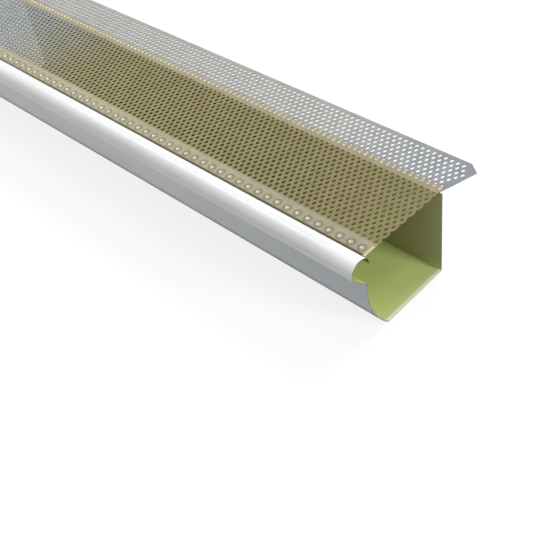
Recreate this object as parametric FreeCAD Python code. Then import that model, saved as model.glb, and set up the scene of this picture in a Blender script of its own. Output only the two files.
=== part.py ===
"""Gutter guard of flattened expanded mesh, lying on a short length of quad gutter.

Millimetres. X runs along the gutter, Y from its bead to its back, Z up.
The origin is the middle of the sole's underside, where the gutter stands on a floor.
"""
import FreeCAD, Part
import math
import os

V = FreeCAD.Vector

# Trough: one roll-formed sheet
trough_length = 610.0
sole_width = 76.0
back_height = 90.0
trough_sheet = 0.8
fold_radius = 2.0
belly_reach = 24.0
belly_height = 61.0
quirk_height = 67.0
quirk_radius = 1.5
bead_radius = 10.5
bead_reach = 29.0
bead_height = 87.0
bead_end_angle = 0.0

# Guard: one bent sheet, its mesh counted in openings along the gutter and rows across it
guard_length = 914.0
guard_sheet = 0.8
guard_inset = 3.0
strip_width = 13.0
strip_height = 93.0
strip_clearance = 0.15
band_front = 2.2
band_back = 6.8
flange_width = 44.0
flange_selvedge = 2.5
strand_width = 2.5
bay_count = 10
pitches_per_bay = 15
deck_rows = 15

# Trimmed near end of the flange: a skew cut and a snipped corner
flange_overhang = 8.0
snip_length = 10.0
snip_width = 7.5

# Pressed pips: a row of large ones along the strip, and a small one to each pitch along the band at the bend
pip_sides = 8
pips_per_bay = 8
strip_pip_inset = 7.4
strip_pip = {"radius": 2.3, "top_radius": 1.2, "height": 0.9}
bend_pip_inset = 1.8
bend_pip_set = 4.5
bend_pip = {"radius": 1.6, "top_radius": 0.8, "height": 0.5}

# Places that follow from the sizes above
near_end = trough_length / 2
back_face = sole_width / 2
bead_axis = V(0, -back_face - bead_reach, bead_height)
guard_end = near_end - guard_inset
strip_front = bead_axis.y + math.sqrt(bead_radius ** 2 - (strip_height - bead_height) ** 2) + strip_clearance
strip_back = strip_front + strip_width
bend_line = back_face - trough_sheet
flange_back = back_face + flange_width

# The mesh lattice: openings a pitch apart along a row, rows a step apart and staggered by half a pitch
bay_length = guard_length / bay_count
pitch = bay_length / pitches_per_bay
deck_end = bend_line - band_front
flange_start = bend_line + band_back
row_step = (deck_end - strip_back) / deck_rows
opening_share = 1 - strand_width * math.hypot(pitch, 2 * row_step) / (2 * pitch * row_step)
half_short = pitch / 2 * opening_share
half_long = row_step * opening_share
flange_rows = int((flange_back - flange_selvedge - half_long - flange_start) / row_step)


def sheet_height(y):
    """Height of the guard's underside: level strip, sloping deck, level flange."""
    if y <= strip_back:
        return strip_height
    if y >= bend_line:
        return back_height
    share = (y - strip_back) / (bend_line - strip_back)
    return strip_height + share * (back_height - strip_height)


def rounded(first, second, radius, corner):
    """Round the corner between two edges of the section: the cut edges with the fillet between them."""
    fillet = Part.ChFi2d.FilletAPI(first, second, Part.Plane(V(0, 0, 0), V(-1, 0, 0)))
    if not fillet.perform(radius):
        raise ValueError("no fillet of radius %g at %s" % (radius, corner))
    arc, first_cut, second_cut = fillet.result(corner)
    return first_cut, arc, second_cut


def trough_section():
    """Closed section of the trough: the outside line from back to bead, thickened inwards."""
    back_top = V(0, back_face, back_height)
    back_foot = V(0, back_face, 0)
    front_foot = V(0, -back_face, 0)
    belly_radius = (belly_height ** 2 + belly_reach ** 2) / (2 * belly_reach)
    belly_axis = V(0, -back_face - belly_reach + belly_radius, belly_height)

    def on_belly(height):
        rise = height - belly_height
        return V(0, belly_axis.y - math.sqrt(belly_radius ** 2 - rise ** 2), height)

    quirk = on_belly(quirk_height)
    to_quirk = quirk - bead_axis
    tangent_angle = math.acos(bead_radius / to_quirk.Length)
    bead_start_angle = math.atan2(to_quirk.z, to_quirk.y) - tangent_angle
    bead_stop_angle = math.radians(bead_end_angle) - 2 * math.pi

    def on_bead(angle):
        return bead_axis + V(0, math.cos(angle), math.sin(angle)) * bead_radius

    back = Part.LineSegment(back_top, back_foot).toShape()
    sole = Part.LineSegment(back_foot, front_foot).toShape()
    belly = Part.Arc(front_foot, on_belly(belly_height / 2), quirk).toShape()
    shoulder = Part.LineSegment(quirk, on_bead(bead_start_angle)).toShape()
    bead_middle = (bead_start_angle + bead_stop_angle) / 2
    bead = Part.Arc(on_bead(bead_start_angle), on_bead(bead_middle), on_bead(bead_stop_angle)).toShape()

    back, heel, sole = rounded(back, sole, fold_radius, back_foot)
    sole, toe, belly = rounded(sole, belly, fold_radius, front_foot)
    belly, crook, shoulder = rounded(belly, shoulder, quirk_radius, quirk)
    outside = Part.Wire([back, heel, sole, toe, belly, crook, shoulder, bead])
    return outside.makeOffset2D(trough_sheet, 0, True, True)


def gutter_trough():
    """The section drawn out along the gutter."""
    section = trough_section()
    section.translate(V(-trough_length / 2, 0, 0))
    return section.extrude(V(trough_length, 0, 0))


def plate(outline, openings):
    """A stretch of the sheet from its plan outline and its openings' plans, laid at the sheet's height."""
    loops = []
    for loop in [outline] + openings:
        corners = [V(x, y, sheet_height(y)) for x, y in loop]
        loops.append(Part.makePolygon(corners + corners[:1]))
    return Part.makeFace(loops, "Part::FaceMakerBullseye").extrude(V(0, 0, guard_sheet))


def opening(x, y):
    """Plan of one diamond opening."""
    return [(x - half_short, y), (x, y - half_long), (x + half_short, y), (x, y + half_long)]


def inside(loop, trimmed_edge):
    """Whether an opening's plan stays a strand's width clear of the trimmed edge, given from front to back."""
    for x, y in loop:
        for (x1, y1), (x2, y2) in zip(trimmed_edge, trimmed_edge[1:]):
            clearance = ((x1 - x) * (y2 - y1) - (y1 - y) * (x2 - x1)) / math.hypot(x2 - x1, y2 - y1)
            if clearance < strand_width:
                return False
    return True


def mesh_plate(near, far, front, back, band_edge, rows, into_mesh, trimmed_edge=None):
    """A mesh stretch of one bay, between its front and back lines.

    Rows are counted from the bend band. Row 0 has half openings along the band's edge, even rows have whole
    openings, and odd rows, which lie half a pitch on, are cut in half at the bay's ends.
    """
    openings = []
    near_notches = []
    far_notches = []
    for row in range(rows + 1):
        y = band_edge + into_mesh * row * row_step
        first = 0.5 if row % 2 == 0 else 1.0
        places = [near - (first + number) * pitch for number in range(int(pitches_per_bay + 0.5 - first))]
        for x in places:
            whole = opening(x, y)
            tip = whole[1] if into_mesh < 0 else whole[3]
            openings.append(whole if row else [whole[0], tip, whole[2]])
        if row % 2 == 1:
            near_notches.append([(near, y - half_long), (near - half_short, y), (near, y + half_long)])
            far_notches.append([(far, y - half_long), (far + half_short, y), (far, y + half_long)])
        if trimmed_edge and row:
            past_end = [opening(near + (number + 1 - first) * pitch, y) for number in range(3)]
            openings += [loop for loop in past_end if inside(loop, trimmed_edge)]
    near_edge = [(near, front)] + sum(sorted(near_notches, key=lambda notch: notch[1][1]), []) + [(near, back)]
    far_edge = [(far, front)] + sum(sorted(far_notches, key=lambda notch: notch[1][1]), []) + [(far, back)]
    return plate(far_edge + (trimmed_edge or near_edge)[::-1], openings)


def pip(foot, radius, top_radius, height):
    """A pressed pip with few sides, standing on the sheet."""
    rims = []
    for rim_radius, rise in ((radius, 0), (top_radius, height)):
        corners = []
        for side in range(pip_sides + 1):
            turn = 2 * math.pi * side / pip_sides
            corners.append(foot + V(rim_radius * math.cos(turn), rim_radius * math.sin(turn), rise))
        rims.append(Part.makePolygon(corners))
    return Part.makeLoft(rims, True, True)


def strip_plate(near, far):
    """The plain front strip of one bay, with its row of pips."""
    strip = plate([(far, strip_front), (near, strip_front), (near, strip_back), (far, strip_back)], [])
    middle = V(near - strip_pip_inset, (strip_front + strip_back) / 2, strip_height + guard_sheet)
    step = V(bay_length / pips_per_bay, 0, 0)
    return strip.multiFuse([pip(middle - step * number, **strip_pip) for number in range(pips_per_bay)])


def guard_bay(number):
    """One bay of the guard: strip, deck and flange in one piece."""
    near = guard_end - number * bay_length
    far = near - bay_length
    deck = mesh_plate(near, far, strip_back, bend_line, deck_end, deck_rows - 1, -1)
    trimmed_edge = None
    if number == 0:
        tip = near_end + flange_overhang
        trimmed_edge = [(near, bend_line), (tip, flange_back - snip_width), (tip - snip_length, flange_back)]
    flange = mesh_plate(near, far, bend_line, flange_back, flange_start, flange_rows, 1, trimmed_edge)
    pip_foot = V(near - bend_pip_inset, bend_line + bend_pip_set, back_height + guard_sheet)
    bend_pips = [pip(pip_foot - V(pitch * count, 0, 0), **bend_pip) for count in range(pitches_per_bay)]
    return strip_plate(near, far).multiFuse([deck, flange] + bend_pips).removeSplitter()


os.makedirs("parts", exist_ok=True)
gutter_trough().exportStep("parts/gutter_trough.step")
for number in range(bay_count):
    guard_bay(number).exportStep("parts/guard_bay_%02d.step" % (number + 1))
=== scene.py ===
# %% [markdown]
# # A gutter guard on a length of quad gutter
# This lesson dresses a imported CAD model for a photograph-like render. The model is a bent sheet of expanded
# mesh, the guard, which lies on a roll-formed gutter trough. The CAD gives every size and place. Blender
# adds what a solid can't show: paint, coating, bare metal, and the light that brings them out.

# %% Load the fixed frame
import bpy
import math
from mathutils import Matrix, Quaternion, Vector


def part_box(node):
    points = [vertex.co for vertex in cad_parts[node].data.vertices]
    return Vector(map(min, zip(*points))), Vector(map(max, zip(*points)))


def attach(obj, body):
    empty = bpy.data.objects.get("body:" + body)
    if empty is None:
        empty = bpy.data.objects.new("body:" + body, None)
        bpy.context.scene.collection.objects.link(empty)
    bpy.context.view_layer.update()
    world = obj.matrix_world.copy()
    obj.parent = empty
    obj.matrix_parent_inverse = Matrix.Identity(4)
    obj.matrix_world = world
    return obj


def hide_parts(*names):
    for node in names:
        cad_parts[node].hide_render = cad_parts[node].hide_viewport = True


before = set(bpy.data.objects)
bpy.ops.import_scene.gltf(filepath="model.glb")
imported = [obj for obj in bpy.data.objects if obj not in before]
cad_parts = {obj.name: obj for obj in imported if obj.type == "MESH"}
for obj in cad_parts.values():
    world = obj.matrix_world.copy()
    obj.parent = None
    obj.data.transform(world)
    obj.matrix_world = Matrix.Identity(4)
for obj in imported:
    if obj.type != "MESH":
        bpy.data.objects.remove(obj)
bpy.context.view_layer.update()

# %% [markdown]
# ## Camera
# The photograph looks down into the gutter's near end with a short telephoto lens. Its focal length and
# place were worked out from the known section: each corner of the gutter's end was matched to the pixel
# where the photograph shows it. A camera is aimed by turning its -Z axis at a point, and then rolled about
# that axis, because the picture was turned a little before it was cropped.

# %% The photograph's camera
image_width = 540
focal_pixels = 886.3
camera_place = Vector((0.6301, -0.4145, 0.5775))
camera_aim = Vector((0.2501, -0.1103, 0.0900))
camera_roll = math.radians(-10.58)

camera_data = bpy.data.cameras.new("photo_camera")
camera_data.sensor_width = 36.0
camera_data.lens = focal_pixels / image_width * camera_data.sensor_width
camera_data.clip_start = 0.01
camera = bpy.data.objects.new("photo_camera", camera_data)
camera.location = camera_place
camera.rotation_mode = "QUATERNION"
aimed = (camera_aim - camera_place).to_track_quat("-Z", "Y")
camera.rotation_quaternion = aimed @ Quaternion((0, 0, 1), camera_roll)
bpy.context.scene.collection.objects.link(camera)
bpy.context.scene.camera = camera
print("lens", round(camera_data.lens, 2), "mm")

# %% [markdown]
# ## Colours and nodes
# Colours are written as the sRGB hex values that a picture editor shows, but shaders add up light, so they
# need linear values. One function converts them. A second one adds a node, and fills its inputs either with
# plain values or with other nodes' outputs, so that a material reads from its first pattern to its surface.
# Inputs go by name or by number. A Mix node has the same input names once for every type of data, so its
# inputs go by number: 0 is the share, 6 and 7 are two colours and output 2 their mix. For plain numbers
# they are 2 and 3, and output 0.

# %% Two helpers that every material uses
def colour(hex_code):
    """sRGB hex to linear RGBA."""
    channels = []
    for start in (1, 3, 5):
        share = int(hex_code[start:start + 2], 16) / 255
        channels.append(share / 12.92 if share <= 0.04045 else ((share + 0.055) / 1.055) ** 2.4)
    return (*channels, 1.0)


def add(tree, kind, inputs=None, **settings):
    """Add a node, set its own settings, then fill its inputs with values or with other nodes' outputs."""
    node = tree.nodes.new(kind)
    for name, value in settings.items():
        setattr(node, name, value)
    for name, value in (inputs or {}).items():
        if isinstance(value, bpy.types.NodeSocket):
            tree.links.new(value, node.inputs[name])
        else:
            node.inputs[name].default_value = value
    return node


# %% [markdown]
# ## White studio
# The gutter was shot on a pure white ground. Light Path tells a shader which kind of ray asks: rays from
# the camera and mirror-like reflections see white of strength 1, while the light that really falls on the
# metal is set apart from it. The floor is mostly that white, with a share of plain diffuse paper left in
# it, so it still carries a soft shadow. To the light that bounces off it, the paper is a middle grey, as
# the dark room round a studio table would be, so the gutter's bellied front, which looks down at it, stays
# in shade.

# %% World
ambient_strength = 0.42


def seen_directly(tree):
    """Socket that is 1 for a ray that sees the studio, straight, mirrored or through glass, and else 0."""
    path = add(tree, "ShaderNodeLightPath")
    seen = add(tree, "ShaderNodeMath",
               {0: path.outputs["Is Camera Ray"], 1: path.outputs["Is Glossy Ray"]}, operation="MAXIMUM")
    seen = add(tree, "ShaderNodeMath",
               {0: seen.outputs[0], 1: path.outputs["Is Transmission Ray"]}, operation="MAXIMUM")
    return seen.outputs[0]


world = bpy.data.worlds.new("white_studio")
bpy.context.scene.world = world
world.use_nodes = True
tree = world.node_tree
tree.nodes.clear()
strength = add(tree, "ShaderNodeMapRange",
               {"Value": seen_directly(tree), "To Min": ambient_strength, "To Max": 1.0})
background = add(tree, "ShaderNodeBackground",
                 {"Color": colour("#FFFFFF"), "Strength": strength.outputs["Result"]})
add(tree, "ShaderNodeOutputWorld", {"Surface": background.outputs[0]})
print("world lights the object with strength", ambient_strength)

# %% Floor
floor_half = 4.0
paper_share = 0.17

floor_mesh = bpy.data.meshes.new("studio_floor")
floor_corners = [(x * floor_half, y * floor_half, 0) for x, y in ((-1, -1), (1, -1), (1, 1), (-1, 1))]
floor_mesh.from_pydata(floor_corners, [], [(0, 1, 2, 3)])
floor = bpy.data.objects.new("studio_floor", floor_mesh)
bpy.context.scene.collection.objects.link(floor)

paper = bpy.data.materials.new("studio_paper_matt")
paper.use_nodes = True
tree = paper.node_tree
tree.nodes.clear()
seen = seen_directly(tree)
glow_share = add(tree, "ShaderNodeMath", {0: seen, 1: 1 - paper_share}, operation="MULTIPLY")
paper_tone = add(tree, "ShaderNodeMix", {0: seen, 6: colour("#A9A9A8"), 7: colour("#F2F2F0")},
                 data_type="RGBA")
matt = add(tree, "ShaderNodeBsdfDiffuse", {"Color": paper_tone.outputs[2]})
glow = add(tree, "ShaderNodeEmission", {"Color": colour("#FFFFFF"), "Strength": 1.0})
mixed = add(tree, "ShaderNodeMixShader", {0: glow_share.outputs[0], 1: matt.outputs[0], 2: glow.outputs[0]})
add(tree, "ShaderNodeOutputMaterial", {"Surface": mixed.outputs[0]})
floor_mesh.materials.append(paper)
print("floor", 2 * floor_half, "m wide,", paper_share, "of it paper that takes shadow")

# %% [markdown]
# ## Lamps
# The photograph's light comes from above: the crown of the bead is white, the bellied front is grey, and
# inside, the sole is lit while the back wall stays dark. A long box hangs over the far part of the gutter,
# where the crown of the bead mirrors it along the whole length. A wide one above and behind gives the sheet
# its plain light, a third, low and off the near end, reaches in under the guard, and a weak one in front
# gives the bead's lower side its soft second light. The wide one and the end one are kept out of
# reflections, because from some sides flat metal would mirror them as a white glare. An area lamp is strong
# or weak by its power over its size, so both are set.

# %% Soft boxes
def soft_box(name, place, aim, width, length, watts, mirrored):
    """A rectangular lamp at a place, turned to an aim, its length lying in the upright plane through both."""
    lamp_data = bpy.data.lights.new(name, "AREA")
    lamp_data.shape = "RECTANGLE"
    lamp_data.size = width
    lamp_data.size_y = length
    lamp_data.energy = watts
    lamp = bpy.data.objects.new(name, lamp_data)
    lamp.location = place
    lamp.rotation_mode = "QUATERNION"
    lamp.rotation_quaternion = (Vector(aim) - Vector(place)).to_track_quat("-Z", "Y")
    lamp.visible_glossy = mirrored
    bpy.context.scene.collection.objects.link(lamp)
    print(name, watts, "W,", round(watts / (math.pi * width * length), 1), "of radiance")


soft_box("overhead_box", place=(-1.25, 0.10, 1.60), aim=(-1.75, 0.20, 0.09),
         width=0.40, length=2.2, watts=13.8, mirrored=True)
soft_box("top_box", place=(0.18, 1.00, 1.55), aim=(0.00, -0.02, 0.09),
         width=0.9, length=0.6, watts=22.0, mirrored=False)
soft_box("front_box", place=(-0.50, -1.30, 0.42), aim=(-0.05, -0.07, 0.07),
         width=0.7, length=0.7, watts=2.6, mirrored=True)
soft_box("end_box", place=(1.90, 0.22, 0.72), aim=(0.20, 0.00, 0.02),
         width=0.6, length=0.6, watts=33.0, mirrored=False)

# %% [markdown]
# ## Trough: one roll-formed sheet
# The real trough starts as a flat painted strip that rollers bend, a little at each stand, into its
# section. Here too it starts as one thin sheet: the outside line of the section, drawn along the gutter. A
# Solidify modifier then gives the sheet its thickness towards the inside, and can put one material on the
# outside, a second on the inside and a third on the cut rim, which is just how a coated sheet looks. From
# the sole, the front swells out in a belly, turns in a soft corner, the quirk, and ends in a rolled bead.

# %% The section's outside line
sheet = 0.0008
fold_radius = 0.002
belly_reach = 0.024
belly_height = 0.061
quirk_height = 0.067
crook_angle = 0.55  # Degrees of the belly's arc that the soft turn at the quirk takes up
bead_radius = 0.0105
bead_reach = 0.029
bead_height = 0.087
back_top = 0.090

trough_low, trough_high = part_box("gutter_trough")
back_face = trough_high.y
bead_y = -back_face - bead_reach
belly_radius = (belly_height ** 2 + belly_reach ** 2) / (2 * belly_reach)
belly_y = -back_face - belly_reach + belly_radius


def arc(centre_y, centre_z, radius, start, stop, steps):
    """Points of an arc in the section, from one angle to another, in degrees from +Y towards +Z."""
    points = []
    for step in range(steps + 1):
        angle = math.radians(start + (stop - start) * step / steps)
        points.append((centre_y + radius * math.cos(angle), centre_z + radius * math.sin(angle)))
    return points


def between(first, corner, last, steps):
    """Points of the soft turn from one point to another, drawn towards the corner that it rounds."""
    points = []
    for step in range(steps + 1):
        share = step / steps
        weights = ((1 - share) ** 2, 2 * share * (1 - share), share ** 2)
        points.append(tuple(sum(w * p[i] for w, p in zip(weights, (first, corner, last))) for i in (0, 1)))
    return points


def section_line():
    """Outside line of the section, from the top of the back wall round to the end of the bead."""
    heel = arc(back_face - fold_radius, fold_radius, fold_radius, 0, -90, steps=6)
    toe_y = belly_y - math.sqrt((belly_radius - fold_radius) ** 2 - (belly_height - fold_radius) ** 2)
    toe_angle = math.degrees(math.atan2(fold_radius - belly_height, toe_y - belly_y))
    toe = arc(toe_y, fold_radius, fold_radius, -90, toe_angle, steps=4)
    quirk_angle = 180 - math.degrees(math.asin((quirk_height - belly_height) / belly_radius))
    belly_end = quirk_angle + crook_angle
    belly = arc(belly_y, belly_height, belly_radius, toe_angle + 360, belly_end, steps=28)[1:]
    quirk = arc(belly_y, belly_height, belly_radius, quirk_angle, quirk_angle, steps=1)[0]
    to_quirk = (quirk[0] - bead_y, quirk[1] - bead_height)
    bead_start = math.atan2(to_quirk[1], to_quirk[0]) - math.acos(bead_radius / math.hypot(*to_quirk))
    bead = arc(bead_y, bead_height, bead_radius, math.degrees(bead_start), -360, steps=56)
    crook_share = belly_radius * math.radians(crook_angle) / math.dist(quirk, bead[0])
    crook_end = tuple(q + (b - q) * crook_share for q, b in zip(quirk, bead[0]))
    crook = between(belly[-1], quirk, crook_end, steps=5)[1:]
    return [(back_face, back_top)] + heel + toe + belly + crook + bead


outside_line = section_line()
print("section line of", len(outside_line), "points")

# %% [markdown]
# Along the gutter the sheet needs few stations, because it is straight there. Faces are wound so that they
# look outwards, which is where the first material, the enamel, will be.

# %% The trough's sheet
stations = 16


def swept_sheet(name, line, low_x, high_x):
    """The section line drawn along X as one layer of faces."""
    points = []
    for station in range(stations + 1):
        x = low_x + (high_x - low_x) * station / stations
        points += [(x, y, z) for y, z in line]
    faces = []
    count = len(line)
    for station in range(stations):
        for step in range(count - 1):
            corner = station * count + step
            faces.append((corner, corner + count, corner + count + 1, corner + 1))
    mesh = bpy.data.meshes.new(name)
    mesh.from_pydata(points, [], faces)
    piece = bpy.data.objects.new(name, mesh)
    bpy.context.scene.collection.objects.link(piece)
    return piece


trough = swept_sheet("trough_sheet", outside_line, trough_low.x, trough_high.x)
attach(trough, "root")
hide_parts("gutter_trough")
print("trough sheet of", len(trough.data.polygons), "faces")

# %% [markdown]
# ## Pattern sizes
# A noise texture repeats about once in one unit of its coordinates, so a pattern's scale in metres is one
# over its real size. This function keeps the real size, in millimetres, in view. At this distance a pixel
# is about a millimetre, so the finest patterns of the finishes below are drawn coarser than they are, and
# say so.

# %% Real size to texture scale
def per_metre(millimetres):
    """Texture scale that gives a pattern of this size."""
    return 1000 / millimetres


def blank_material(name):
    """A material with an empty node tree."""
    material = bpy.data.materials.new(name)
    material.use_nodes = True
    material.node_tree.nodes.clear()
    return material, material.node_tree


# %% [markdown]
# ## Outside: coil-coated enamel
# Gutter strip is painted before it is formed. The film is smooth and satin: it shows a broad soft highlight,
# a faint orange peel and slight bands where the rollers pressed it. Three darker marks lie on top of that,
# all painted shade. Each is a mask, worked out from the place on the gutter, which mixes in a colour of its
# own. First, the bead's lower side and all that is below it is painted a darker grey, most at the near end:
# painted shade. Dust there dulls the gloss.

# %% Satin grey enamel: tone and painted shade below the bead
near_shade_from = 0.05
dust_and_shade_starts = bead_height - 0.0005
dust_and_shade_full = bead_height - 0.009

enamel, tree = blank_material("coil_coated_enamel_grey")
place = add(tree, "ShaderNodeTexCoord")
axes = add(tree, "ShaderNodeSeparateXYZ", {0: place.outputs["Object"]})
clouds = add(tree, "ShaderNodeTexNoise",
             {"Vector": place.outputs["Object"], "Scale": per_metre(45), "Detail": 3.0})
tone = add(tree, "ShaderNodeMix", {0: clouds.outputs[0], 6: colour("#CBCDCD"), 7: colour("#D9DBDA")},
           data_type="RGBA")
near_end = add(tree, "ShaderNodeMapRange",
               {"Value": axes.outputs["X"], "From Min": near_shade_from, "From Max": trough_high.x})
below_bead = add(tree, "ShaderNodeMapRange",
                 {"Value": axes.outputs["Z"], "From Min": dust_and_shade_starts, "From Max": dust_and_shade_full})
# Painted shade: the bead's lower side and all below it turn a darker bluish grey, most at the near end.
near_end_shade = add(tree, "ShaderNodeMath",
              {0: near_end.outputs[0], 1: below_bead.outputs[0]}, operation="MULTIPLY")
tone = add(tree, "ShaderNodeMix", {0: near_end_shade.outputs[0], 6: tone.outputs[2], 7: colour("#B4B9BD")},
           data_type="RGBA")

# %% [markdown]
# The foot of the belly is darker in streaks: painted shade, where the belly turns down away from the light. A
# dark line on the bead's lip, along the guard's strip, is painted shadow, where the strip shades the bead.

# %% Satin grey enamel: painted shade at the foot and on the lip
front_side = -back_face + 0.004
foot_shade_up_to = 0.019
foot_shade_gone_from = 0.033
lip_starts = bead_y + 0.0066
lip_full = bead_y + 0.0076
lip_foot = bead_height - 0.002

# Painted shade: the foot of the belly turns down, away from the light, and is painted darker in streaks.
underside = add(tree, "ShaderNodeMapRange",
                {"Value": axes.outputs["Z"], "From Min": foot_shade_up_to, "From Max": foot_shade_gone_from,
                 "To Min": 1.0, "To Max": 0.0})
drawn_out = add(tree, "ShaderNodeMapping",
                {"Vector": place.outputs["Object"], "Scale": (per_metre(60), per_metre(5), per_metre(5))})
foot_shade_noise = add(tree, "ShaderNodeTexNoise", {"Vector": drawn_out.outputs[0], "Scale": 1.0, "Detail": 4.0})
streaks = add(tree, "ShaderNodeMapRange",
              {"Value": foot_shade_noise.outputs[0], "From Min": 0.3, "From Max": 0.7, "To Min": 0.75, "To Max": 1.0})
front = add(tree, "ShaderNodeMath", {0: axes.outputs["Y"], 1: front_side}, operation="LESS_THAN")
belly = add(tree, "ShaderNodeMath", {0: underside.outputs[0], 1: front.outputs[0]}, operation="MULTIPLY")
foot_shade = add(tree, "ShaderNodeMath", {0: belly.outputs[0], 1: streaks.outputs[0]}, operation="MULTIPLY")
foot_shaded = add(tree, "ShaderNodeMix", {0: foot_shade.outputs[0], 6: tone.outputs[2], 7: colour("#6C7072")},
              data_type="RGBA")
# Painted shadow: a dark line on the bead's lip, where the guard's strip shades it.
lip = add(tree, "ShaderNodeMapRange",
          {"Value": axes.outputs["Y"], "From Min": lip_starts, "From Max": lip_full})
high = add(tree, "ShaderNodeMath", {0: axes.outputs["Z"], 1: lip_foot}, operation="GREATER_THAN")
on_bead = add(tree, "ShaderNodeMath", {0: high.outputs[0], 1: front.outputs[0]}, operation="MULTIPLY")
painted_shade = add(tree, "ShaderNodeMath", {0: lip.outputs[0], 1: on_bead.outputs[0]}, operation="MULTIPLY")
shaded_tone = add(tree, "ShaderNodeMix", {0: painted_shade.outputs[0], 6: foot_shaded.outputs[2], 7: colour("#5A5648")},
           data_type="RGBA")

# %% [markdown]
# Gloss follows the same masks. Clean enamel is satin, in the long bands that the rollers left, and enamel
# under the painted shade at the foot and on the lip is matt, as is dusty enamel. So is the underside of the
# bead, which never gets wiped. The orange peel has its real size, waves of about 1.5 mm that are a few
# thousandths of a millimetre deep.

# %% Satin grey enamel: gloss and orange peel
matt_roughness = 0.8
dust_share = 0.45
bead_turn = bead_height - 0.0085
turn_width = 0.0025

stretched = add(tree, "ShaderNodeMapping",
                {"Vector": place.outputs["Object"],
                 "Scale": (per_metre(300), per_metre(1.6), per_metre(1.6))})
bands = add(tree, "ShaderNodeTexNoise", {"Vector": stretched.outputs[0], "Scale": 1.0, "Detail": 2.0})
rolled = add(tree, "ShaderNodeMapRange", {"Value": bands.outputs[0], "To Min": 0.24, "To Max": 0.36})
dulled = add(tree, "ShaderNodeMath", {0: foot_shade.outputs[0], 1: painted_shade.outputs[0]}, operation="MAXIMUM")
dusty = add(tree, "ShaderNodeMath", {0: below_bead.outputs[0], 1: dust_share}, operation="MULTIPLY")
dulled = add(tree, "ShaderNodeMath", {0: dulled.outputs[0], 1: dusty.outputs[0]}, operation="MAXIMUM")
from_turn = add(tree, "ShaderNodeMath", {0: axes.outputs["Z"], 1: bead_turn}, operation="SUBTRACT")
from_turn = add(tree, "ShaderNodeMath", {0: from_turn.outputs[0]}, operation="ABSOLUTE")
at_turn = add(tree, "ShaderNodeMapRange",
              {"Value": from_turn.outputs[0], "From Min": turn_width, "From Max": 2 * turn_width,
               "To Min": 1.0, "To Max": 0.0})
under_bead = add(tree, "ShaderNodeMath", {0: at_turn.outputs[0], 1: front.outputs[0]}, operation="MULTIPLY")
dulled = add(tree, "ShaderNodeMath", {0: dulled.outputs[0], 1: under_bead.outputs[0]}, operation="MAXIMUM")
gloss = add(tree, "ShaderNodeMix", {0: dulled.outputs[0], 2: rolled.outputs[0], 3: matt_roughness})
peel = add(tree, "ShaderNodeTexNoise",
           {"Vector": place.outputs["Object"], "Scale": per_metre(1.5), "Detail": 1.0})
relief = add(tree, "ShaderNodeBump", {"Height": peel.outputs[0], "Strength": 0.12, "Distance": 0.00003})
paint = add(tree, "ShaderNodeBsdfPrincipled",
            {"Base Color": shaded_tone.outputs[2], "Roughness": gloss.outputs[0], "IOR": 1.5,
             "Normal": relief.outputs[0]})
add(tree, "ShaderNodeOutputMaterial", {"Surface": paint.outputs[0]})
print(enamel.name, "has", len(tree.nodes), "nodes")

# %% [markdown]
# ## Inside: wash coat
# The inside has a thin yellow-green wash coat, matt and a little uneven. The upright wall is painted darker
# and browner, painted shade, and the sole is painted darker low down at the open near end, painted shade too.
# Along the sole, a narrow margin at each sheared end is paler.

# %% Yellow-green wash coat: tone and margin
wall_from = back_face - sheet - 0.0008
end_shade_from = trough_high.x - 0.025
end_shade_full = trough_high.x - 0.007
end_shade_top = 0.012
end_shade_bottom = 0.002
margin_from = trough_high.x - 0.0026
margin_blur = 0.0006
sole_top = 0.0015

wash, tree = blank_material("wash_coat_yellow_green")
place = add(tree, "ShaderNodeTexCoord")
axes = add(tree, "ShaderNodeSeparateXYZ", {0: place.outputs["Object"]})
clouds = add(tree, "ShaderNodeTexNoise",
             {"Vector": place.outputs["Object"], "Scale": per_metre(38), "Detail": 4.0})
tone = add(tree, "ShaderNodeMix", {0: clouds.outputs[0], 6: colour("#ABB569"), 7: colour("#B7C17A")},
           data_type="RGBA")
# Painted shade: the upright wall, which faces away from the light, is painted darker and browner.
on_wall = add(tree, "ShaderNodeMath", {0: axes.outputs["Y"], 1: wall_from}, operation="GREATER_THAN")
tone = add(tree, "ShaderNodeMix", {0: on_wall.outputs[0], 6: tone.outputs[2], 7: colour("#93936A")},
           data_type="RGBA")
# Painted shade: the sole is painted darker low down towards the open near end.
mouth = add(tree, "ShaderNodeMapRange",
            {"Value": axes.outputs["X"], "From Min": end_shade_from, "From Max": end_shade_full})
low = add(tree, "ShaderNodeMapRange",
          {"Value": axes.outputs["Z"], "From Min": end_shade_top, "From Max": end_shade_bottom})
end_shaded = add(tree, "ShaderNodeMath", {0: mouth.outputs[0], 1: low.outputs[0]}, operation="MULTIPLY")
tone = add(tree, "ShaderNodeMix", {0: end_shaded.outputs[0], 6: tone.outputs[2], 7: colour("#A5AF70")},
           data_type="RGBA")
# The sole is paler in a narrow margin at each end.
from_middle = add(tree, "ShaderNodeMath", {0: axes.outputs["X"]}, operation="ABSOLUTE")
at_end = add(tree, "ShaderNodeMapRange",
             {"Value": from_middle.outputs[0], "From Min": margin_from - margin_blur,
              "From Max": margin_from + margin_blur})
on_sole = add(tree, "ShaderNodeMath", {0: axes.outputs["Z"], 1: sole_top}, operation="LESS_THAN")
pale_margin = add(tree, "ShaderNodeMath", {0: at_end.outputs[0], 1: on_sole.outputs[0]}, operation="MULTIPLY")
with_margin = add(tree, "ShaderNodeMix", {0: pale_margin.outputs[0], 6: tone.outputs[2], 7: colour("#C6C9B6")},
           data_type="RGBA")

# %% [markdown]
# Inside the rolled bead, near the end that shows, the coat is painted near black: painted shade in the hollow
# of the curl. The coat's own grain, about a tenth of a millimetre, is too fine to show and is drawn at 0.9
# mm.

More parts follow.
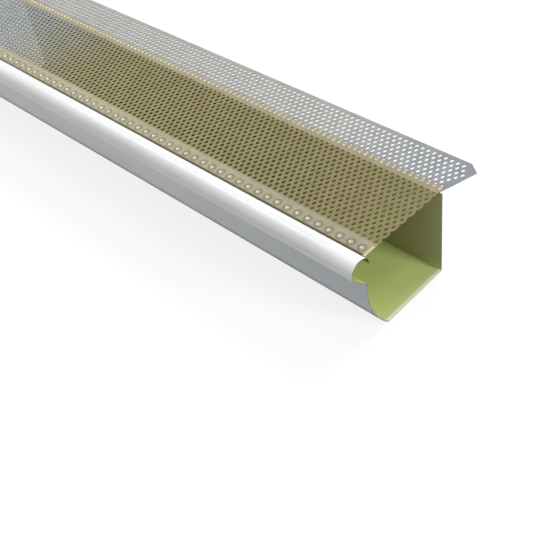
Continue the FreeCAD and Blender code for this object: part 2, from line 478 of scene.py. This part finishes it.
# %% Yellow-green wash coat: painted shade in the bead, and grain
curl_shade_from = 0.20
bead_back = bead_y + 0.0112
curl_shade_foot = bead_height - 0.001
curl_shade_full = bead_height + 0.003

# Painted shade: inside the bead's curl, near the end that shows, the coat is painted near black.
in_bead = add(tree, "ShaderNodeMath", {0: axes.outputs["Y"], 1: bead_back}, operation="LESS_THAN")
up_bead = add(tree, "ShaderNodeMapRange",
              {"Value": axes.outputs["Z"], "From Min": curl_shade_foot, "From Max": curl_shade_full})
curl_shaded = add(tree, "ShaderNodeMath", {0: in_bead.outputs[0], 1: up_bead.outputs[0]}, operation="MULTIPLY")
towards_near_end = add(tree, "ShaderNodeMapRange",
             {"Value": axes.outputs["X"], "From Min": curl_shade_from, "From Max": trough_high.x})
curl_shaded = add(tree, "ShaderNodeMath", {0: curl_shaded.outputs[0], 1: towards_near_end.outputs[0]}, operation="MULTIPLY")
skin = add(tree, "ShaderNodeMix", {0: curl_shaded.outputs[0], 6: with_margin.outputs[2], 7: colour("#2A2A1C")},
           data_type="RGBA")
grain = add(tree, "ShaderNodeTexNoise",
            {"Vector": place.outputs["Object"], "Scale": per_metre(0.9), "Detail": 2.0})
relief = add(tree, "ShaderNodeBump", {"Height": grain.outputs[0], "Strength": 0.15, "Distance": 0.00003})
coat = add(tree, "ShaderNodeBsdfPrincipled",
           {"Base Color": skin.outputs[2], "Roughness": 0.5, "IOR": 1.45, "Normal": relief.outputs[0]})
add(tree, "ShaderNodeOutputMaterial", {"Surface": coat.outputs[0]})
print(wash.name, "has", len(tree.nodes), "nodes")

# %% [markdown]
# ## Cut rim: sheared steel
# Shears leave bare steel on the sheet's edges. It is darker than the paint beside it, so it draws a thin grey
# line round the trough's end. On the curl of the bead, up and back from its middle, the rim is painted near
# black at the near end: painted shade inside the curl. The tears that shears leave, about a tenth of a
# millimetre, are too fine to show and are drawn at 0.6 mm.

# %% Bare sheared steel
curl_starts = bead_y + bead_height + 0.002
curl_full = bead_y + bead_height + 0.006

sheared, tree = blank_material("sheared_steel_bare")
place = add(tree, "ShaderNodeTexCoord")
axes = add(tree, "ShaderNodeSeparateXYZ", {0: place.outputs["Object"]})
# Painted shade: the rim on the bead's curl is painted near black at the near end.
up_and_back = add(tree, "ShaderNodeMath", {0: axes.outputs["Y"], 1: axes.outputs["Z"]}, operation="ADD")
curled = add(tree, "ShaderNodeMapRange",
             {"Value": up_and_back.outputs[0], "From Min": curl_starts, "From Max": curl_full})
front = add(tree, "ShaderNodeMath", {0: axes.outputs["Y"], 1: -back_face}, operation="LESS_THAN")
rim_curl_shade = add(tree, "ShaderNodeMath", {0: curled.outputs[0], 1: front.outputs[0]}, operation="MULTIPLY")
near = add(tree, "ShaderNodeMath", {0: axes.outputs["X"], 1: curl_shade_from}, operation="GREATER_THAN")
rim_curl_shade = add(tree, "ShaderNodeMath", {0: rim_curl_shade.outputs[0], 1: near.outputs[0]}, operation="MULTIPLY")
tone = add(tree, "ShaderNodeMix", {0: rim_curl_shade.outputs[0], 6: colour("#7C7E7C"), 7: colour("#2F2D24")},
           data_type="RGBA")
tears = add(tree, "ShaderNodeTexNoise",
            {"Vector": place.outputs["Object"], "Scale": per_metre(0.6), "Detail": 2.0})
gloss = add(tree, "ShaderNodeMapRange", {"Value": tears.outputs[0], "To Min": 0.30, "To Max": 0.50})
steel = add(tree, "ShaderNodeBsdfPrincipled",
            {"Base Color": tone.outputs[2], "Metallic": 1.0, "Roughness": gloss.outputs[0]})
add(tree, "ShaderNodeOutputMaterial", {"Surface": steel.outputs[0]})
print(sheared.name, "has", len(tree.nodes), "nodes")

# %% [markdown]
# With its three finishes known, the sheet can become solid. Solidify thickens it inwards and hands the
# second and third material to its inside and its rim. Bevel takes the sharpness off the cut rim, as a file
# would. The result is read back as a plain mesh, so that its rolled curves can be shaded smooth and its
# true corners kept sharp.

# %% Thickness, rim and shading
filed_edge = 0.00012
filed_above = math.radians(50)
smooth_below = math.radians(35)

for material in (enamel, wash, sheared):
    trough.data.materials.append(material)
thicken = trough.modifiers.new("sheet thickness", "SOLIDIFY")
thicken.thickness = sheet
thicken.offset = -1
thicken.use_even_offset = True
thicken.material_offset = 1
thicken.material_offset_rim = 2
soften = trough.modifiers.new("filed rim", "BEVEL")
soften.width = filed_edge
soften.segments = 2
soften.limit_method = "ANGLE"
soften.angle_limit = filed_above
formed = trough.evaluated_get(bpy.context.evaluated_depsgraph_get())
formed_mesh = bpy.data.meshes.new_from_object(formed)
formed_mesh.name = "trough_sheet_formed"
trough.modifiers.clear()
trough.data = formed_mesh
formed_mesh.shade_smooth()
formed_mesh.set_sharp_from_angle(angle=smooth_below)
print("formed trough of", len(formed_mesh.polygons), "faces,", len(formed_mesh.materials), "materials")

# %% [markdown]
# ## Guard: mill-finish aluminium
# The guard is slit, stretched and rolled flat from aluminium sheet, and its CAD solids already have every
# strand. What they lack is the metal. The plain strip and the plain band at the bend keep the sheet's light
# tone. The stretched strands over the gutter are warmer and duller: painted reflected light from the
# yellow-green coat below them. A colour ramp across the sheet, with its stops at real places, holds these
# tones, and its first stop is a dark line at the strip's front edge, painted shadow. Past it, the flange is a
# cooler grey, bluest at the near end.

# %% Tones across the guard's sheet
strip_width = 0.013
guard_low, guard_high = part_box("guard_bay_01")
strip_front = guard_low.y
strip_back = strip_front + strip_width
bend_line = back_face - sheet
band_back = bend_line + 0.0055
flange_from = bend_line + 0.0100
flange_turns_blue = 0.18
sheet_tones = [
    # The first stop, dark at the strip's front edge, is painted shadow of the gap between strip and bead. The
    # deck's warm stops are painted reflected light from the coat below.
    (strip_front + 0.0012, "#6F6954"),
    (strip_front + 0.0022, "#ABA590"),
    (strip_back + 0.0015, "#ABA590"),
    (strip_back + 0.0040, "#948B67"),
    (bend_line - 0.0035, "#948B67"),
    (bend_line - 0.0015, "#A79F86"),
    (band_back, "#A79F86"),
]

mill, tree = blank_material("aluminium_mill_finish")
place = add(tree, "ShaderNodeTexCoord")
axes = add(tree, "ShaderNodeSeparateXYZ", {0: place.outputs["Object"]})
across = add(tree, "ShaderNodeMapRange",
             {"Value": axes.outputs["Y"], "From Min": strip_front, "From Max": guard_high.y})
tones = add(tree, "ShaderNodeValToRGB", {0: across.outputs[0]})
stops = tones.color_ramp.elements
while len(stops) < len(sheet_tones):
    stops.new(1.0)
for stop, (y, hex_code) in zip(stops, sheet_tones):
    stop.position = (y - strip_front) / (guard_high.y - strip_front)
    stop.color = colour(hex_code)
along = add(tree, "ShaderNodeMapRange",
            {"Value": axes.outputs["X"], "From Min": flange_turns_blue, "From Max": guard_high.x})
flange_tone = add(tree, "ShaderNodeMix", {0: along.outputs[0], 6: colour("#ADAEAD"), 7: colour("#9A9FA9")},
                  data_type="RGBA")
past_bend = add(tree, "ShaderNodeMapRange",
                {"Value": axes.outputs["Y"], "From Min": band_back, "From Max": flange_from})
sheeted = add(tree, "ShaderNodeMix",
              {0: past_bend.outputs[0], 6: tones.outputs[0], 7: flange_tone.outputs[2]}, data_type="RGBA")
print("tones at", [round(stop.position, 3) for stop in stops], "of the sheet's width")

# %% [markdown]
# The warm tint, painted reflected light from the coat below, lies over the gutter and fades out straight
# across the deck, towards the trough's far end. Painted shadow darkens the strip's front edge, which the ramp
# has, and painted shade rings the foot of each pip on the strip. The strip's snipped end is lighter, a
# painted highlight. The rings need no mesh: the remainder of X over the pips' step says how far the nearest
# pip is.

# %% Mill-finish aluminium: painted reflection, painted highlight and painted shade
tint_full_to = -0.110
tint_gone_at = -0.250
deck_edge = 0.001
deck_inner = 0.004
guard_end = 0.302
guard_length = 0.914
end_highlight_starts = guard_end - 0.0026
end_highlight_full = guard_end - 0.0010
strip_top = 0.0938
strip_pip_count = 80
strip_pip_step = guard_length / strip_pip_count
strip_pip_inset = 0.0074
first_pip = Vector((guard_end - strip_pip_inset, (strip_front + strip_back) / 2, strip_top))
ring_darkest = 0.0025
ring_gone = 0.0052

# Painted reflected light: over the gutter the deck keeps the ramp's warm tone, the coat's colour; past the
# trough's far end it fades to cool grey.
faded = add(tree, "ShaderNodeMapRange",
            {"Value": axes.outputs["X"], "From Min": tint_full_to, "From Max": tint_gone_at})
past_strip = add(tree, "ShaderNodeMapRange",
                 {"Value": axes.outputs["Y"], "From Min": strip_back + deck_edge,
                  "From Max": strip_back + deck_inner})
to_bend = add(tree, "ShaderNodeMapRange",
              {"Value": axes.outputs["Y"], "From Min": bend_line - deck_edge,
               "From Max": bend_line - deck_inner})
on_deck = add(tree, "ShaderNodeMath", {0: past_strip.outputs[0], 1: to_bend.outputs[0]}, operation="MULTIPLY")
untinted = add(tree, "ShaderNodeMath", {0: faded.outputs[0], 1: on_deck.outputs[0]}, operation="MULTIPLY")
cooled = add(tree, "ShaderNodeMix", {0: untinted.outputs[0], 6: sheeted.outputs[2], 7: colour("#999EA0")},
             data_type="RGBA")
# Painted highlight: the strip's snipped end is painted light.
at_end = add(tree, "ShaderNodeMapRange",
             {"Value": axes.outputs["X"], "From Min": end_highlight_starts, "From Max": end_highlight_full})
on_strip = add(tree, "ShaderNodeMath", {0: axes.outputs["Y"], 1: strip_back}, operation="LESS_THAN")
end_highlight = add(tree, "ShaderNodeMath", {0: at_end.outputs[0], 1: on_strip.outputs[0]}, operation="MULTIPLY")
end_highlighted = add(tree, "ShaderNodeMix", {0: end_highlight.outputs[0], 6: cooled.outputs[2], 7: colour("#D6CEA8")},
              data_type="RGBA")
# Painted shade: a dark ring round the foot of each pip on the strip.
from_first = add(tree, "ShaderNodeMath",
                 {0: first_pip.x + strip_pip_step / 2, 1: axes.outputs["X"]}, operation="SUBTRACT")
in_step = add(tree, "ShaderNodeMath", {0: from_first.outputs[0], 1: strip_pip_step}, operation="MODULO")
off_x = add(tree, "ShaderNodeMath", {0: in_step.outputs[0], 1: strip_pip_step / 2}, operation="SUBTRACT")
off_y = add(tree, "ShaderNodeMath", {0: axes.outputs["Y"], 1: first_pip.y}, operation="SUBTRACT")
offset = add(tree, "ShaderNodeCombineXYZ", {0: off_x.outputs[0], 1: off_y.outputs[0]})
reach = add(tree, "ShaderNodeVectorMath", {0: offset.outputs[0]}, operation="LENGTH")
ring = add(tree, "ShaderNodeMapRange",
           {"Value": reach.outputs["Value"], "From Min": ring_darkest, "From Max": ring_gone,
            "To Min": 0.75, "To Max": 0.0})
ringed = add(tree, "ShaderNodeMix", {0: ring.outputs[0], 6: end_highlighted.outputs[2], 7: colour("#6F6954")},
             data_type="RGBA")
print("a grime ring every", round(strip_pip_step * 1000, 2), "mm")

# %% [markdown]
# Noise keeps all of it from lying flat: clouds of light and dark, and a bloom that leans to pink or to
# green as thin oxide does. Rolling leaves fine lines along the sheet, about a tenth of a millimetre apart.
# They are too fine to show, so they are drawn at 0.8 mm, and they vary the gloss as well as the relief.

# %% Mill-finish aluminium: clouds, bloom and rolling lines
clouds = add(tree, "ShaderNodeTexNoise",
             {"Vector": place.outputs["Object"], "Scale": per_metre(12), "Detail": 3.0})
shade = add(tree, "ShaderNodeMapRange",
            {"Value": clouds.outputs[0], "From Min": 0.25, "From Max": 0.75, "To Min": 0.90, "To Max": 1.10})
tone = add(tree, "ShaderNodeMix", {0: 1.0, 6: ringed.outputs[2], 7: shade.outputs[0]}, data_type="RGBA",
           blend_type="MULTIPLY")
bloom = add(tree, "ShaderNodeTexNoise",
            {"Vector": place.outputs["Object"], "Scale": per_metre(25), "Detail": 2.0})
hues = add(tree, "ShaderNodeMix", {0: bloom.outputs[0], 6: colour("#FFF7FA"), 7: colour("#F8FFF3")},
           data_type="RGBA")
tone = add(tree, "ShaderNodeMix", {0: 1.0, 6: tone.outputs[2], 7: hues.outputs[2]}, data_type="RGBA",
           blend_type="MULTIPLY")
stretched = add(tree, "ShaderNodeMapping",
                {"Vector": place.outputs["Object"],
                 "Scale": (per_metre(20), per_metre(0.8), per_metre(0.8))})
lines = add(tree, "ShaderNodeTexNoise", {"Vector": stretched.outputs[0], "Scale": 1.0, "Detail": 2.0})
gloss = add(tree, "ShaderNodeMapRange", {"Value": lines.outputs[0], "To Min": 0.30, "To Max": 0.46})
relief = add(tree, "ShaderNodeBump", {"Height": lines.outputs[0], "Strength": 0.2, "Distance": 0.00003})
metal = add(tree, "ShaderNodeBsdfPrincipled",
            {"Base Color": tone.outputs[2], "Metallic": 1.0, "Roughness": gloss.outputs[0],
             "Normal": relief.outputs[0]})
add(tree, "ShaderNodeOutputMaterial", {"Surface": metal.outputs[0]})
for name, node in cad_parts.items():
    if name.startswith("guard_bay"):
        node.data.materials.clear()
        node.data.materials.append(mill)
print(mill.name, "has", len(tree.nodes), "nodes")

# %% [markdown]
# ## Pips
# A press tool leaves a row of round pips along the strip, and smaller ones along the band at the bend. The
# CAD has them with few sides, so each gets a true dome over it, turned from rings of points. The domes are
# painted lighter than the sheet round them, a painted highlight, and each also catches one soft highlight
# from the lamps.

# %% Domes along a row
dome_rings = 5
dome_sides = 16


def dome_row(name, first, step, count, radius, height):
    """A row of shallow domes along -X, each a cap of a sphere, as one piece."""
    points = []
    faces = []
    sphere = (radius ** 2 + height ** 2) / (2 * height)
    for number in range(count):
        start = len(points)
        for ring in range(dome_rings):
            out = radius * (1 - ring / dome_rings)
            rise = math.sqrt(sphere ** 2 - out ** 2) - (sphere - height)
            for side in range(dome_sides):
                turn = 2 * math.pi * side / dome_sides
                points.append((first.x - step * number + out * math.cos(turn),
                               first.y + out * math.sin(turn), first.z + rise))
        points.append((first.x - step * number, first.y, first.z + height))
        crown = len(points) - 1
        for side in range(dome_sides):
            after = (side + 1) % dome_sides
            for ring in range(dome_rings - 1):
                low = start + ring * dome_sides
                high = low + dome_sides
                faces.append((low + side, low + after, high + after, high + side))
            last = start + (dome_rings - 1) * dome_sides
            faces.append((last + side, last + after, crown))
    mesh = bpy.data.meshes.new(name)
    mesh.from_pydata(points, [], faces)
    mesh.shade_smooth()
    piece = bpy.data.objects.new(name, mesh)
    bpy.context.scene.collection.objects.link(piece)
    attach(piece, "root")
    print(name, "has", count, "domes and", len(faces), "faces")
    return piece


# %% Two rows of pips
flange_top = 0.0908
bend_pip_count = 150
bend_pip_step = guard_length / bend_pip_count
bend_pip_inset = 0.0018
bend_pip_row = bend_line + 0.0045
first_bend_pip = Vector((guard_end - bend_pip_inset, bend_pip_row, flange_top))

strip_pips = dome_row("strip_pips", first_pip, strip_pip_step, strip_pip_count,
                      radius=0.0024, height=0.0012)
bend_pips = dome_row("bend_pips", first_bend_pip, bend_pip_step, bend_pip_count,
                     radius=0.0017, height=0.00064)

# %% [markdown]
# ## Pip crowns
# The crowns' light tone is a painted highlight. Fine scratches from the tool, about a tenth of a millimetre
# wide, keep the crowns from the hard gloss of polished metal. They are too fine to show, so they are drawn at
# 0.7 mm.

# %% Pip aluminium with a painted highlight
pip_highlight_metal, tree = blank_material("aluminium_pip_painted_highlight")
place = add(tree, "ShaderNodeTexCoord")
rub = add(tree, "ShaderNodeTexNoise",
          {"Vector": place.outputs["Object"], "Scale": per_metre(0.7), "Detail": 2.0})
# Painted highlight: the crowns' tone is lighter than the sheet round them.
tone = add(tree, "ShaderNodeMix", {0: rub.outputs[0], 6: colour("#B5AE99"), 7: colour("#CBC5B2")},
           data_type="RGBA")
gloss = add(tree, "ShaderNodeMapRange", {"Value": rub.outputs[0], "To Min": 0.36, "To Max": 0.48})
metal = add(tree, "ShaderNodeBsdfPrincipled",
            {"Base Color": tone.outputs[2], "Metallic": 1.0, "Roughness": gloss.outputs[0]})
add(tree, "ShaderNodeOutputMaterial", {"Surface": metal.outputs[0]})
strip_pips.data.materials.append(pip_highlight_metal)
bend_pips.data.materials.append(pip_highlight_metal)
print(pip_highlight_metal.name, "has", len(tree.nodes), "nodes")

# %% [markdown]
# ## View
# The Standard view shows each colour as it was set, so white stays white and tones can be compared with the
# photograph.

# %% View settings
bpy.context.scene.view_settings.view_transform = "Standard"
